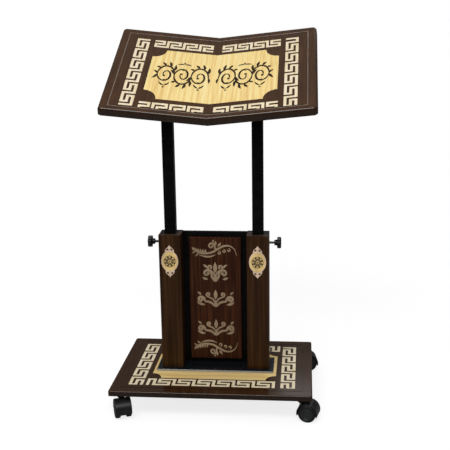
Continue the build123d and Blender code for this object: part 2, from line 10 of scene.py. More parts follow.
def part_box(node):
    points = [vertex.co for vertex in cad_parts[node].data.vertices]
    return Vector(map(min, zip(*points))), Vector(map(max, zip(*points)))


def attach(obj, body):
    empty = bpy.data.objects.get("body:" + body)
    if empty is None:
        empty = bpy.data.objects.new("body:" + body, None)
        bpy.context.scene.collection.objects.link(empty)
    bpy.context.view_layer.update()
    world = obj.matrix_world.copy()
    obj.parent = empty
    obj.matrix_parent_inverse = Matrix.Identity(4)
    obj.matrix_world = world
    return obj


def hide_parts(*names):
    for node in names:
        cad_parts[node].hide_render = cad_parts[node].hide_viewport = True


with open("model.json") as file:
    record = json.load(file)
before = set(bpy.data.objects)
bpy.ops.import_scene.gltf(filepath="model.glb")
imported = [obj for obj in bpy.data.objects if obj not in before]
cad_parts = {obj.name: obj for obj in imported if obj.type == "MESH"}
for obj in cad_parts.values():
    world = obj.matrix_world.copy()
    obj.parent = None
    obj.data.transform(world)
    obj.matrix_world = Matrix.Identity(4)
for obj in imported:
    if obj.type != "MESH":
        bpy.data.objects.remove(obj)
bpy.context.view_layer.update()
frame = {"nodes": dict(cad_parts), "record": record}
nodes = frame["nodes"]
random.seed(11)

MM = 0.001
SIDES = {"left": -1, "right": 1}
CORNERS = ("front_left", "front_right", "back_left", "back_right")
NODE_SLOTS = {part["node"]: part["material_slot"] for part in frame["record"]["subparts"]}
LEVEL = (0.0, 0.0, 0.0)
SLOPE = (math.radians(30.5), 0.0, 0.0)      # grain that follows the leaves' slope


# ---------------------------------------------------------------- materials
class Finish:
    """A node material on one Principled shader. Plain numbers go straight onto the shader's own sockets."""

    def __init__(self, name, roughness=0.4, **sockets):
        self.material = bpy.data.materials.new(name)
        self.material.use_nodes = True
        self.tree = self.material.node_tree
        self.shader = self.tree.nodes["Principled BSDF"]
        self.shader.inputs["Roughness"].default_value = roughness
        for label, value in sockets.items():
            self.shader.inputs[label.replace("_", " ")].default_value = value

    def node(self, kind, **settings):
        made = self.tree.nodes.new(kind)
        for key, value in settings.items():
            setattr(made, key, value)
        return made

    def link(self, source, target):
        self.tree.links.new(source, target)

    def coordinates(self, size, turn=(0.0, 0.0, 0.0), moved=(0.0, 0.0, 0.0)):
        """Object coordinates, turned and then divided by the size of one pattern cell in metres."""
        source = self.node("ShaderNodeTexCoord")
        mapping = self.node("ShaderNodeMapping", vector_type="TEXTURE")
        mapping.inputs["Rotation"].default_value = turn
        mapping.inputs["Scale"].default_value = size
        mapping.inputs["Location"].default_value = moved
        self.link(source.outputs["Object"], mapping.inputs["Vector"])
        return mapping.outputs["Vector"]

    def noise(self, vector, detail=4.0, distortion=0.0):
        texture = self.node("ShaderNodeTexNoise")
        texture.inputs["Scale"].default_value = 1.0
        texture.inputs["Detail"].default_value = detail
        texture.inputs["Distortion"].default_value = distortion
        self.link(vector, texture.inputs["Vector"])
        return texture.outputs["Fac"]

    def ramp(self, value, *stops):
        """Colour ramp from (position, colour) pairs."""
        ramp = self.node("ShaderNodeValToRGB")
        points = ramp.color_ramp.elements
        while len(points) < len(stops):
            points.new(0.5)
        for point, (position, colour) in zip(points, stops):
            point.position = position
            point.color = (*colour, 1.0)
        self.link(value, ramp.inputs["Fac"])
        return ramp.outputs["Color"]

    def mix(self, share, first, second, mode="MIX"):
        """Mixes two colours; each argument is a socket or a plain value."""
        mixer = self.node("ShaderNodeMix", data_type="RGBA", blend_type=mode)
        for value, socket in ((share, mixer.inputs[0]), (first, mixer.inputs[6]), (second, mixer.inputs[7])):
            if isinstance(value, bpy.types.NodeSocket):
                self.link(value, socket)
            elif isinstance(value, tuple):
                socket.default_value = (*value, 1.0)
            else:
                socket.default_value = value
        return mixer.outputs[2]

    def spread(self, value, low, high):
        """Maps a 0 to 1 value onto low to high."""
        mapped = self.node("ShaderNodeMapRange")
        mapped.inputs["To Min"].default_value = low
        mapped.inputs["To Max"].default_value = high
        self.link(value, mapped.inputs["Value"])
        return mapped.outputs["Result"]

    def colour(self, socket):
        self.link(socket, self.shader.inputs["Base Color"])

    def rough(self, socket):
        self.link(socket, self.shader.inputs["Roughness"])

    def bump(self, value, depth):
        """Surface relief of the given depth in metres."""
        made = self.node("ShaderNodeBump")
        made.inputs["Strength"].default_value = 1.0
        made.inputs["Distance"].default_value = depth
        self.link(value, made.inputs["Height"])
        self.link(made.outputs["Normal"], self.shader.inputs["Normal"])


def upward(made):
    """How far the surface looks up: 1 for a level top, 0 or less for a side or an underside."""
    split = made.node("ShaderNodeSeparateXYZ")
    made.link(made.node("ShaderNodeNewGeometry").outputs["Normal"], split.inputs["Vector"])
    return split.outputs["Z"]


def on_top(made, colour, top_tone):
    """Gives the faces that look straight up a tone of their own."""
    up = made.ramp(upward(made), (0.9, (0.0, 0.0, 0.0)), (0.96, (1.0, 1.0, 1.0)))
    return made.mix(up, colour, top_tone)


def wood(name, tones, cell, turn=LEVEL, roughness=(0.3, 0.4), relief=0.00002, specular=0.5, pores=0.35,
         top_tone=None):
    """Grained board. tones are dark, middle and light; cell is one grain streak across X, Y and Z."""
    made = Finish(name, Specular_IOR_Level=specular)
    streaks = made.noise(made.coordinates(cell, turn), 6.0, 0.6)
    dark, middle, light = tones
    base = made.ramp(streaks, (0.34, dark), (0.5, middle), (0.66, light))
    fine = made.noise(made.coordinates(tuple(c * 0.16 for c in cell), turn, (0.3, 0.1, 0.2)), 3.0)
    pore = made.ramp(fine, (0.36, (0.55, 0.5, 0.45)), (0.5, (1.0, 1.0, 1.0)))
    shown = made.mix(pores, base, pore, "MULTIPLY")
    made.colour(on_top(made, shown, top_tone) if top_tone else shown)
    made.rough(made.spread(fine, *roughness))
    made.bump(fine, relief)
    return made.material


def column_wood(name, top_tone):
    """Upright walnut slat whose end grain, on top, has a tone of its own."""
    return wood(name, COLUMN_TONES, (0.006, 0.006, 0.24), LEVEL, (0.3, 0.42), 0.00003, 0.22, 0.3, top_tone)


def lacquer(name, tones):
    """Deep gloss lacquer over a dark stained board, with a soft waviness. Painted shade darkens its sides
    and underside according to how far each face looks up.
    """
    made = Finish(name, Specular_IOR_Level=0.45)
    cloud = made.noise(made.coordinates((0.05, 0.05, 0.05)), 3.0, 0.3)
    grain = made.noise(made.coordinates((0.006, 0.09, 0.09)), 5.0, 0.8)
    dark, middle, light = tones
    base = made.ramp(cloud, (0.3, dark), (0.7, middle))
    grained = made.mix(made.ramp(grain, (0.42, (0.0, 0.0, 0.0)), (0.8, (0.6, 0.6, 0.6))), base, light)
    # painted shade: faces that look sideways or down are darkened to 0.42 of the lacquer's tone
    painted_side_shade = made.ramp(upward(made), (0.3, (0.42, 0.42, 0.42)), (0.78, (1.0, 1.0, 1.0)))
    made.colour(made.mix(1.0, grained, painted_side_shade, "MULTIPLY"))
    made.rough(made.spread(made.noise(made.coordinates((0.012, 0.012, 0.012)), 2.0), 0.11, 0.17))
    made.bump(made.noise(made.coordinates((0.009, 0.009, 0.009)), 1.0), 0.000012)
    return made.material


def moulded(name, tone, roughness, grain=0.0007, relief=0.00001, specular=0.4, metal=0.0, side_highlight_tone=None):
    """Plastic, paint or plated metal: slight tone drift, and a fine skin that breaks the reflections up. A
    side tone, if given, paints a highlight on every face but the tops.
    """
    made = Finish(name, Specular_IOR_Level=specular, Metallic=metal)
    drift = made.noise(made.coordinates((0.02, 0.02, 0.02)), 2.0)
    lighter = tuple(min(1.0, c * 1.35 + 0.002) for c in tone)
    shown = made.ramp(drift, (0.35, tone), (0.65, lighter))
    # painted highlight: faces that don't look straight up are mixed 85 per cent towards the side tone
    made.colour(on_top(made, made.mix(0.85, shown, side_highlight_tone), tone) if side_highlight_tone else shown)
    skin = made.noise(made.coordinates((grain, grain, grain)), 2.0)
    made.rough(made.spread(skin, roughness * 0.85, roughness * 1.15))
    made.bump(skin, relief)
    return made.material


BOARD_TONES = ((0.04, 0.0165, 0.005), (0.056, 0.0232, 0.0072), (0.098, 0.044, 0.017))
# painted shade: the base board takes the leaves' lacquer at 0.72 of its tone
SHADED_BASE_TONES = tuple(tuple(c * 0.72 for c in tone) for tone in BOARD_TONES)
COLUMN_TONES = ((0.022, 0.0072, 0.0012), (0.036, 0.013, 0.0022), (0.056, 0.022, 0.0052))
# tones given to the slats' tops: light brown for the front and inner slats, near black for the outer and
# back slats
CUT_END = (0.055, 0.032, 0.023)
DARK_END_TONE = (0.006, 0.004, 0.003)
PANEL_TONES = ((0.02, 0.0042, 0.001), (0.042, 0.0105, 0.0026), (0.078, 0.0235, 0.0068))
MAPLE_TONES = ((0.8, 0.55, 0.2), (0.92, 0.7, 0.28), (0.95, 0.78, 0.37))
# painted shade: the base veneer is the leaves' maple in darker tones
SHADED_BASE_MAPLE_TONES = ((0.72, 0.48, 0.17), (0.84, 0.6, 0.24), (0.9, 0.69, 0.31))
INLAY_TONES = ((0.78, 0.64, 0.4), (0.86, 0.74, 0.51), (0.9, 0.8, 0.6))
BEECH_TONES = ((0.5, 0.3, 0.14), (0.62, 0.4, 0.2), (0.7, 0.48, 0.26))

MATERIALS = {
    "lacquered_board": lacquer("dark_lacquer", BOARD_TONES),
    # the base board's lacquer, darkened by painted shade
    "shaded_base_lacquer": lacquer("dark_base_lacquer", SHADED_BASE_TONES),
    # painted highlight: the bead beside the leaf grooves is a lighter brown than the lacquer
    "painted_highlight_bead": moulded("painted_highlight_bead", (0.137, 0.098, 0.075), 0.2, 0.003, 0.000004, 0.5),
    "key_inlay": wood("cream_inlay", INLAY_TONES, (0.006, 0.05, 0.05), SLOPE, (0.22, 0.3), 0.000005,
                      pores=0.2),
    "maple_veneer": wood("maple_veneer", MAPLE_TONES, (0.0055, 0.2, 0.2), SLOPE, (0.2, 0.3), 0.000006,
                         pores=0.25),
    "base_veneer": wood("maple_base_veneer", SHADED_BASE_MAPLE_TONES, (0.16, 0.006, 0.16), LEVEL, (0.2, 0.3),
                        0.000006, pores=0.25),
    "column_board": column_wood("walnut_column", CUT_END),
    "dark_topped_column": column_wood("dark_topped_column", DARK_END_TONE),
    "panel_board": wood("walnut_panel", PANEL_TONES, (0.0036, 0.0036, 0.13), LEVEL, (0.34, 0.48), 0.00004,
                        0.18),
    "black_board": moulded("black_paint", (0.0015, 0.0016, 0.0018), 0.4, 0.001, 0.00001, 0.12),
    # painted highlight: the plate's sides are light grey under its near-black top
    "deck_plate": moulded("dark_gloss_plate", (0.006, 0.0075, 0.009), 0.14, 0.002, 0.000002, 0.5,
                          side_highlight_tone=(0.3, 0.31, 0.3)),
    "black_steel": moulded("powder_coat", (0.001, 0.001, 0.0009), 0.42, 0.0006, 0.00002, 0.11),
    "nylon": moulded("black_nylon", (0.02, 0.02, 0.02), 0.5),
    "gold_medallion": moulded("rose_beige_acrylic", (0.66, 0.49, 0.36), 0.28, 0.0015, 0.000003),
    "gold_field": moulded("pale_gold", (0.7, 0.5, 0.2), 0.3, 0.0012, 0.000004),
    "black_plastic": moulded("black_plastic", (0.006, 0.006, 0.0065), 0.3),
    "caster_hood": moulded("caster_shell", (0.0065, 0.0067, 0.0072), 0.34, 0.0009, 0.00002),
    "caster_wheel": moulded("caster_tread", (0.0065, 0.0067, 0.007), 0.44, 0.0007, 0.00002),
    "wheel_ring": moulded("wheel_ring", (0.018, 0.019, 0.02), 0.3, 0.0009, 0.00001),
    "brass_insert": moulded("turned_brass", (0.3, 0.2, 0.08), 0.3, 0.0004, 0.000004, 0.5, 1.0),
    "beech_dowel": wood("beech", BEECH_TONES, (0.05, 0.002, 0.002)),
    "zinc_steel": moulded("zinc_plate", (0.5, 0.5, 0.48), 0.3, 0.0006, 0.000004, 0.5, 1.0),
    "dark_zinc": moulded("dark_zinc", (0.14, 0.14, 0.135), 0.32, 0.0006, 0.000004, 0.5, 1.0),
    "burnt_ink": moulded("burnt_engraving", (0.03, 0.016, 0.007), 0.5, 0.0008, 0.00002, 0.2),
    "pale_engraving": moulded("pale_engraving", (0.275, 0.2, 0.12), 0.55, 0.0006, 0.00003, 0.25),
    "rosette_ink": moulded("rosette_print", (0.03, 0.017, 0.012), 0.45, 0.0008, 0.00001, 0.3),
}
# CAD nodes whose finish isn't the one named after their slot
ODD_FINISHES = {"base_board": "shaded_base_lacquer", "base_veneer": "base_veneer", "deck_plate": "deck_plate"}
# the outer and back slats of each column take the near-black top tone
DARK_TOPPED_SLATS = ("outer", "back")
ODD_FINISHES.update({f"{side}_column_{slat}": "dark_topped_column" for side in SIDES for slat in DARK_TOPPED_SLATS})


def finish_cad_nodes():
    """Gives every carried CAD node its procedural material."""
    for name, node in nodes.items():
        finish = ODD_FINISHES.get(name) or NODE_SLOTS[name]
        for place in node.material_slots:
            place.material = MATERIALS[finish]


# ---------------------------------------------------------------- meshes
class Face:
    """A flat working face. Points on it are given in millimetres across, up and out from its origin."""

    def __init__(self, origin, across, up, flip=1):
        self.origin = Vector(origin)
        self.across = Vector(across).normalized()
        self.up = Vector(up).normalized()
        self.out = self.across.cross(self.up).normalized()
        self.flip = flip

    def at(self, x, y, height=0.0):
        return self.origin + (self.across * x * self.flip + self.up * y + self.out * height) * MM


def add_piece(name, mesh, body, slot, finish=None, sharp=35.0):
    """Finishes a bmesh into an object that rides on a body and takes a slot's finish."""
    bmesh.ops.recalc_face_normals(mesh, faces=mesh.faces)
    data = bpy.data.meshes.new(name)
    mesh.to_mesh(data)
    mesh.free()
    data.shade_smooth()
    data.set_sharp_from_angle(angle=math.radians(sharp))
    made = bpy.data.objects.new(name, data)
    bpy.context.scene.collection.objects.link(made)
    data.materials.append(MATERIALS[finish or slot])
    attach(made, body)
    return made


def loft(mesh, rings, closed_loop=False):
    """Joins rings of vertices into a skin, with a cap at each end unless closed_loop joins the ends."""
    pairs = list(zip(rings, rings[1:]))
    if closed_loop:
        pairs.append((rings[-1], rings[0]))
    for first, second in pairs:
        count = len(first)
        for i in range(count):
            j = (i + 1) % count
            mesh.faces.new((first[i], first[j], second[j], second[i]))
    if not closed_loop:
        mesh.faces.new(rings[0])
        mesh.faces.new(list(reversed(rings[-1])))


# ---------------------------------------------------------------- ornament
STROKE_SECTION = ((-1.0, -0.4), (-1.0, 0.35), (-0.45, 0.9), (0.45, 0.9), (1.0, 0.35), (1.0, -0.4))


def polar(centre, radius, angle):
    return Vector((centre[0] + radius * math.cos(angle), centre[1] + radius * math.sin(angle)))


def through(points, steps=7):
    """Smooth line through a few placed points."""
    spots = [Vector(p) for p in points]
    spots = [2 * spots[0] - spots[1], *spots, 2 * spots[-1] - spots[-2]]
    line = []
    for a, b, c, d in zip(spots, spots[1:], spots[2:], spots[3:]):
        for k in range(steps):
            t = k / steps
            line.append(0.5 * (2 * b + (c - a) * t + (2 * a - 5 * b + 4 * c - d) * t ** 2
                               + (3 * b - a - 3 * c + d) * t ** 3))
    return line + [spots[-2]]


def winding(centre, first_radius, last_radius, first_angle, turn, steps=30):
    """Line that winds from one radius to another through turn, in degrees."""
    line = []
    for k in range(steps + 1):
        t = k / steps
        radius = first_radius * (last_radius / first_radius) ** t
        line.append(polar(centre, radius, math.radians(first_angle + turn * t)))
    return line


def taper(count, first, middle, last, peak=0.5):
    """Widths that swell from first to middle, at the share peak of the way, and fall to last."""
    widths = []
    for k in range(count):
        t = k / (count - 1)
        if t < peak:
            share, low = math.sin(t / peak * math.pi / 2), first
        else:
            share, low = math.cos((t - peak) / (1 - peak) * math.pi / 2), last
        widths.append(low + (middle - low) * share)
    return widths


class Relief:
    """Ornament that stands a fraction of a millimetre proud of a face."""

    def __init__(self, face, height, stretch=1.0):
        self.face = face
        self.height = height
        self.stretch = stretch
        self.mesh = bmesh.new()

    def placed(self, spot):
        return Vector((spot[0], spot[1] * self.stretch))

    def stroke(self, line, first, middle, last, peak=0.5):
        """Crowned stroke of changing width."""
        line = [self.placed(spot) for spot in line]
        rings = []
        for k, (spot, width) in enumerate(zip(line, taper(len(line), first, middle, last, peak))):
            ahead = line[min(k + 1, len(line) - 1)] - line[max(k - 1, 0)]
            side = Vector((-ahead.y, ahead.x)).normalized() * width / 2
            rings.append([
                self.mesh.verts.new(self.face.at(*(spot + side * s), h * self.height))
                for s, h in STROKE_SECTION
            ])
        loft(self.mesh, rings)

    def petal(self, foot, angle, length, width, bend=0.0):
        """Leaf that grows from a foot at an angle in degrees and bends on its way to a point."""
        line = []
        heading, spot, count = math.radians(angle), Vector(foot), 10
        for k in range(count + 1):
            line.append(spot.copy())
            spot += Vector((math.cos(heading), math.sin(heading))) * length / count
            heading += math.radians(bend) / count
        self.stroke(line, width * 0.22, width, 0.12, 0.42)

    def bead(self, centre, radius, sides=20):
        """Low round boss."""
        centre = self.placed(centre)
        rings = []
        for share, lift in ((1.0, -0.4), (1.0, 0.35), (0.8, 0.8), (0.4, 1.0)):
            rings.append([
                self.mesh.verts.new(self.face.at(*polar(centre, radius * share, math.tau * k / sides),
                                                 lift * self.height))
                for k in range(sides)
            ])
        loft(self.mesh, rings)

    def ring(self, centre, radius, width, steps=64):
        """Closed round stroke."""
        rings = []
        for k in range(steps):
            angle = math.tau * k / steps
            spot = Vector((math.cos(angle), math.sin(angle)))
            rings.append([
                self.mesh.verts.new(self.face.at(centre[0] + spot.x * (radius + s * width / 2),
                                                 centre[1] + spot.y * (radius + s * width / 2),
                                                 h * self.height))
                for s, h in STROKE_SECTION
            ])
        loft(self.mesh, rings, closed_loop=True)


def facing(node, toward):
    """Average direction of a node's faces that look toward a direction."""
    total = Vector()
    for polygon in nodes[node].data.polygons:
        if polygon.normal.dot(toward) > 0.8:
            total += polygon.normal * polygon.area
    return total.normalized()


def leaf_faces():
    """Working face of each book leaf, its origin on the fold beside the middle of the veneer."""
    out = {side: facing(f"{side}_leaf_veneer", Vector((0, -0.5, 0.86))) for side in SIDES}
    slope = out["left"].cross(out["right"]).normalized()
    if slope.z < 0:
        slope.negate()
    faces = {}
    for side, way in SIDES.items():
        spots = [v.co for v in nodes[f"{side}_leaf_veneer"].data.vertices]
        top = max(spot.dot(out[side]) for spot in spots)
        fold = [s for s in spots if s.dot(out[side]) > top - 0.01 * MM and abs(s.x) < 0.05 * MM]
        front = min(fold, key=lambda s: s.dot(slope))
        back = max(fold, key=lambda s: s.dot(slope))
        faces[side] = Face((front + back) / 2, slope.cross(out[side]), slope, way)
    return faces


def front_face(node):
    """Working face on the front of an upright node, its origin at the middle."""
    low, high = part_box(node)
    return Face(((low.x + high.x) / 2, low.y, (low.z + high.z) / 2), (1, 0, 0), (0, 0, 1))


def leaf_arabesque(face):
    """Running scroll with curls, leaves and beads across one leaf."""
    art = Relief(face, 0.14, 1.72)
    radius, first, spray = 19.0, 30.5, 25
    for k in range(3):
        way = 1 if k % 2 == 0 else -1
        centre = (first + 2 * radius * k, 0)
        arc = winding(centre, radius, radius, 180, -180 * way, 24)
        art.stroke(arc, 2.6, 5.6, 2.6)
        inner = winding(centre, radius, 5.0, 0, -400 * way, 46)
        art.stroke(inner, 2.6, 4.8, 2.0, 0.25)
        art.bead(inner[-1], 3.3)
        for step, (at, lean) in enumerate(((152, 40), (116, 32), (80, 24), (44, 14))):
            foot = polar(centre, radius + 0.8, math.radians(at * way))
            art.petal(foot, at * way - lean * way, 14.5 - 1.5 * step, 6.6, -40 * way)
        art.petal(polar(centre, radius * 0.62, math.radians(-70 * way)), -150 * way, 12, 4.6, -50 * way)
        art.petal(arc[-1], -70 * way, 16, 6.4, 55 * way)
        art.bead(polar(centre, radius + 9.5, math.radians(-90 * way)), 2.6)
    art.petal((first - radius, 0), 235, 13, 5.6, 60)
    art.petal((first + 5 * radius, 0), 60, 13, 5.8, -60)
    for x in (first, first + 4 * radius):
        art.petal((x, -spray), 165, 15, 4.6, -45)
        art.petal((x, -spray), 15, 15, 4.6, 45)
    x = first + 2 * radius
    art.petal((x, spray), 165, 17, 4.6, 45)
    art.petal((x, spray), 15, 17, 4.6, -45)
    return art.mesh


def panel_scroll(face, middle, way):
    """Vine spray with one curl and a long trailing tip; way is 1 as drawn or -1 upside down."""
    art = Relief(Face(face.at(0, middle), face.across, face.up * way), 0.22)
    art.face.out = face.out     # upside down, it would otherwise point into the panel
    stem = through(((-49, -3), (-40, -8), (-26, -10.5), (-8, -8), (6, 0), (20, 7.5), (34, 8), (45, 0),
                    (50.5, -15)))
    art.stroke(stem, 1.2, 5.0, 0.7, 0.42)
    low = through(((-38, -13), (-24, -17.5), (-10, -17.5), (2, -13)))
    art.stroke(low, 0.6, 4.2, 0.9)
    curl = winding((-8.0, 7.5), 9.2, 3.0, -40, 400, 40)
    art.stroke(through(((8, 1), (4, 1), (-1.0, 1.6))), 2.6, 3.2, 2.8)
    art.stroke(curl, 3.0, 4.0, 2.0, 0.3)
    art.bead(curl[-1], 2.4)
    for step in range(7):
        foot = stem[4 + 2 * step]
        art.petal(foot, 142 - 6 * step, 14.5 - 0.7 * step, 4.0, -34)
    for foot, angle, length, width, bend in (
            ((-45, -6), 200, 9, 3.6, 24), ((-38, -11), 215, 10, 3.6, 20), ((-46, -3), 168, 7, 3.0, -20),
            ((1, 10), 72, 10, 5.2, 40), ((6, 7), 34, 13, 5.0, 34), ((-3, 16), 112, 7, 3.6, -50)):
        art.petal(foot, angle, length, width, bend)
    for x, y, radius in ((9, -9, 5.4), (20.5, -4.5, 4.8), (31.5, -2.5, 5.2)):
        hook = winding((x, y), radius, 1.5, 95, -290, 24)
        art.stroke(hook, 1.0, 2.8, 1.1, 0.4)
        art.bead(hook[-1], 1.5)
    return art.mesh


def panel_motif(face, middle, half_width, half_height):
    """Bold symmetrical palmette: an upright bud between two pairs of curls."""
    art = Relief(Face(face.at(0, middle), face.across, face.up), 0.24)
    for way in (1, -1):
        big, small = half_height * 0.46, half_height * 0.3
        centre = (way * (half_width - big), -half_height * 0.18)
        start = 180 if way > 0 else 0
        curl = winding(centre, big, big * 0.26, start + 20 * way, -380 * way, 44)
        stem = through(((way * 1.2, -half_height * 0.95), (way * half_width * 0.24, -half_height * 0.5),
                        tuple(curl[0])))
        art.stroke(stem, 3.2, 5.6, 4.6)
        art.stroke(curl, 4.6, 5.4, 2.8, 0.25)
        art.bead(curl[-1], 3.6)
        upper = (way * half_width * 0.36, half_height * 0.42)
        curl = winding(upper, small, small * 0.3, -90, 330 * way, 32)
        art.stroke(through(((way * 1.4, -half_height * 0.5), (way * half_width * 0.14, -half_height * 0.12),
                            tuple(curl[0]))), 2.2, 4.0, 3.2)
        art.stroke(curl, 3.2, 4.0, 2.2, 0.3)
        art.bead(curl[-1], 2.7)
        foot = (way * half_width * 0.56, -half_height * 0.72)
        art.petal(foot, 0 if way > 0 else 180, half_width * 0.46, 6.2, 46 * way)
        art.petal((centre[0], centre[1] + big + 1.5), 70 if way > 0 else 110, half_height * 0.5, 5.2,
                  -60 * way)
    art.petal((0, -half_height * 0.1), 90, half_height * 1.05, 9.0)
    art.petal((0, -half_height * 0.98), 90, half_height * 0.8, 7.0)
    return art.mesh


def rosette(face):
    """Eight-fold interlaced rosette."""
    art = Relief(face, 0.12)
    art.ring((0, 0), 4.3, 1.3)
    for k in range(8):
        angle = 45 * k
        for way in (1, -1):
            tip = polar((0, 0), 14.4, math.radians(angle))
            shoulder = polar((0, 0), 10.0, math.radians(angle + way * 26))
            foot = polar((0, 0), 4.4, math.radians(angle + way * 12))
            art.stroke(through((foot, shoulder, tip), 8), 1.2, 2.0, 0.7)
        art.petal(polar((0, 0), 5.4, math.radians(angle)), angle, 5.0, 2.2)
        art.bead(polar((0, 0), 13.0, math.radians(angle + 22.5)), 1.2, 12)
    art.bead((0, 0), 2.0, 16)
    return art.mesh


FIELD_HALF = (17.3, 22.7)
FIELD_TOP = 0.54
RIM_HALF = (18.3, 23.7)


def medallion_field(face):
    """Pale gold oval let into the medallion, with a softly domed middle."""
    mesh = bmesh.new()
    (half_w, half_h), sides = FIELD_HALF, 96
    rings = []
    for inset, lift in ((0.0, -0.3), (0.0, 0.25), (0.35, 0.42), (1.2, 0.45), (5.0, 0.5), (12.0, FIELD_TOP)):
        ring = []
        for k in range(sides):
            angle = math.tau * k / sides
            ring.append(mesh.verts.new(face.at((half_w - inset) * math.cos(angle),
                                               (half_h - inset) * math.sin(angle), lift)))
        rings.append(ring)
    loft(mesh, rings)
    return mesh


def crown_line(way, up):
    """One ogee edge of a medallion crown, from its foot on the oval to its tip."""
    foot, shoulder, neck, tip = ((way * 9.5, up * 21.0), (way * 12.2, up * 29.0), (way * 3.2, up * 30.7),
                                 (0, up * 37.5))
    line = []
    for k in range(17):
        t = k / 16
        line.append(Vector(foot) * (1 - t) ** 3 + Vector(shoulder) * 3 * t * (1 - t) ** 2
                    + Vector(neck) * 3 * t ** 2 * (1 - t) + Vector(tip) * t ** 3)
    return line


def medallion_rim(face):
    """Raised bead that follows the medallion's oval and the outlines of its two crowns."""
    art = Relief(face, 0.5)
    (half_w, half_h), sides = RIM_HALF, 96
    rings = []
    for k in range(sides):
        angle = math.tau * k / sides
        ring = []
        for s, h in STROKE_SECTION:
            ring.append(art.mesh.verts.new(face.at((half_w + s) * math.cos(angle),
                                                   (half_h + s) * math.sin(angle), h * art.height)))
        rings.append(ring)
    loft(art.mesh, rings, closed_loop=True)
    for up in (1, -1):
        for way in (1, -1):
            art.stroke(crown_line(way, up), 0.9, 1.0, 0.9)
        art.petal((0, up * 26.2), 90 * up, 6.0, 2.4)
    return art.mesh


def moulding(face, corners):
    """Low bead laid along straight runs, mitred where they meet."""
    width, height = 2.6, 0.5
    mesh = bmesh.new()
    spots = [Vector(corner) for corner in corners]
    rings = []
    for k, spot in enumerate(spots):
        ways = []
        if k > 0:
            ways.append((spot - spots[k - 1]).normalized())
        if k < len(spots) - 1:
            ways.append((spots[k + 1] - spot).normalized())
        sides = [Vector((-way.y, way.x)) for way in ways]
        mitre = (sides[0] + sides[-1]) / (1 + sides[0].dot(sides[-1]))
        ring = []
        for step in range(9):
            angle = math.pi * step / 8
            ring.append(mesh.verts.new(face.at(*(spot + mitre * math.cos(angle) * width / 2),
                                               math.sin(angle) * height)))
        ring += [mesh.verts.new(face.at(*(spot + mitre * side * width / 2), -0.3)) for side in (-1, 1)]
        rings.append(ring)
    loft(mesh, rings)
    return mesh


# ---------------------------------------------------------------- hardware
def turned(mesh, centre, axis, profile, sides=40, shape=None):
    """Solid of revolution: profile is (distance along the axis, radius) in millimetres.
    shape, if given, scales the radius: shape(angle, index of the profile point)."""
    axis = Vector(axis).normalized()
    side = axis.orthogonal().normalized()
    other = axis.cross(side)
    rings = []
    for index, (along, radius) in enumerate(profile):
        ring = []
        for k in range(sides):
            angle = math.tau * k / sides
            reach = radius * (shape(angle, index) if shape else 1.0)
            offset = side * math.cos(angle) * reach + other * math.sin(angle) * reach + axis * along
            ring.append(mesh.verts.new(Vector(centre) + offset * MM))
        rings.append(ring)
    loft(mesh, rings)


LOBES = 6
LOBE_DEPTH = 0.115      # share of the radius


def knob(side):
    """Six-lobed hand knob with a moulded hub and a dished end."""
    low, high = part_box(f"{side}_lock_knob")
    way = SIDES[side]
    inner = low.x if way > 0 else high.x
    centre = (inner, (low.y + high.y) / 2, (low.z + high.z) / 2)
    length = (high.x - low.x) / MM
    hub, edge = 6.5, length - 9.0       # radius of the hub, and where the lobed head starts
    # distance from the column, radius, and how much of the lobing shows there
    outline = ((0, 5.6, 0), (0.5, hub, 0), (edge - 1.6, hub, 0), (edge - 0.4, 7.6, 0.1), (edge, 9.6, 0.5),
               (edge + 0.35, 12.3, 1), (edge + 1.0, 12.9, 1), (edge + 4.5, 13.0, 1), (length - 1.6, 12.9, 1),
               (length - 0.75, 12.45, 1), (length - 0.2, 11.6, 0.9), (length, 10.4, 0.55), (length, 8.4, 0),
               (length - 0.25, 7.9, 0), (length - 0.9, 7.3, 0), (length - 1.1, 6.2, 0),
               (length - 1.1, hub / 4, 0))

    def lobed(angle, index):
        return 1.0 + outline[index][2] * LOBE_DEPTH * math.cos(LOBES * angle)

    mesh = bmesh.new()
    profile = [(along, radius) for along, radius, _ in outline]
    turned(mesh, centre, (way, 0, 0), profile, 96, lobed)
    for k in range(LOBES):
        angle = math.tau * k / LOBES
        place = Vector((way * (length - 1.1), 4.2 * math.cos(angle), 4.2 * math.sin(angle))) * MM
        turned(mesh, Vector(centre) + place, (way, 0, 0), ((-0.4, 0.7), (0.25, 0.7), (0.4, 0.45)), 14)
    return mesh


def thread(side):
    """Threaded stud: a true helical ridge between two plain ends."""
    low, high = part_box(f"{side}_lock_stud")
    way = SIDES[side]
    length = (high.x - low.x) / MM
    start = Vector((low.x if way > 0 else high.x, (low.y + high.y) / 2, (low.z + high.z) / 2))
    crest, root, pitch, steps = 3.0, 2.5, 1.0, 20
    mesh = bmesh.new()
    axis = Vector((way, 0, 0))
    lines = []
    count = int((length - 3) / pitch) * steps
    for share, radius in ((0.0, root), (0.18, root), (0.5, crest), (0.64, crest)):
        line = []
        for k in range(count + 1):
            angle = math.tau * k / steps
            along = 1.0 + pitch * (k / steps + share)
            spot = axis * along + Vector((0, math.cos(angle) * radius, math.sin(angle) * radius))
            line.append(mesh.verts.new(start + spot * MM))
        lines.append(line)
    for k in range(count):
        for first, second in zip(lines, lines[1:]):
            mesh.faces.new((first[k], first[k + 1], second[k + 1], second[k]))
        if k + steps + 1 <= count:
            first, second = lines[-1], lines[0]
            mesh.faces.new((first[k], first[k + 1], second[k + steps + 1], second[k + steps]))
    turned(mesh, start, (way, 0, 0), ((0, 1.9), (0.6, 2.52), (2.4, 2.52), (2.6, 2.3)), 24)
    far = start + axis * length * MM
    turned(mesh, far, (-way, 0, 0), ((0, 1.9), (0.6, 2.52), (2.6, 2.52), (2.8, 2.3)), 24)
    return mesh


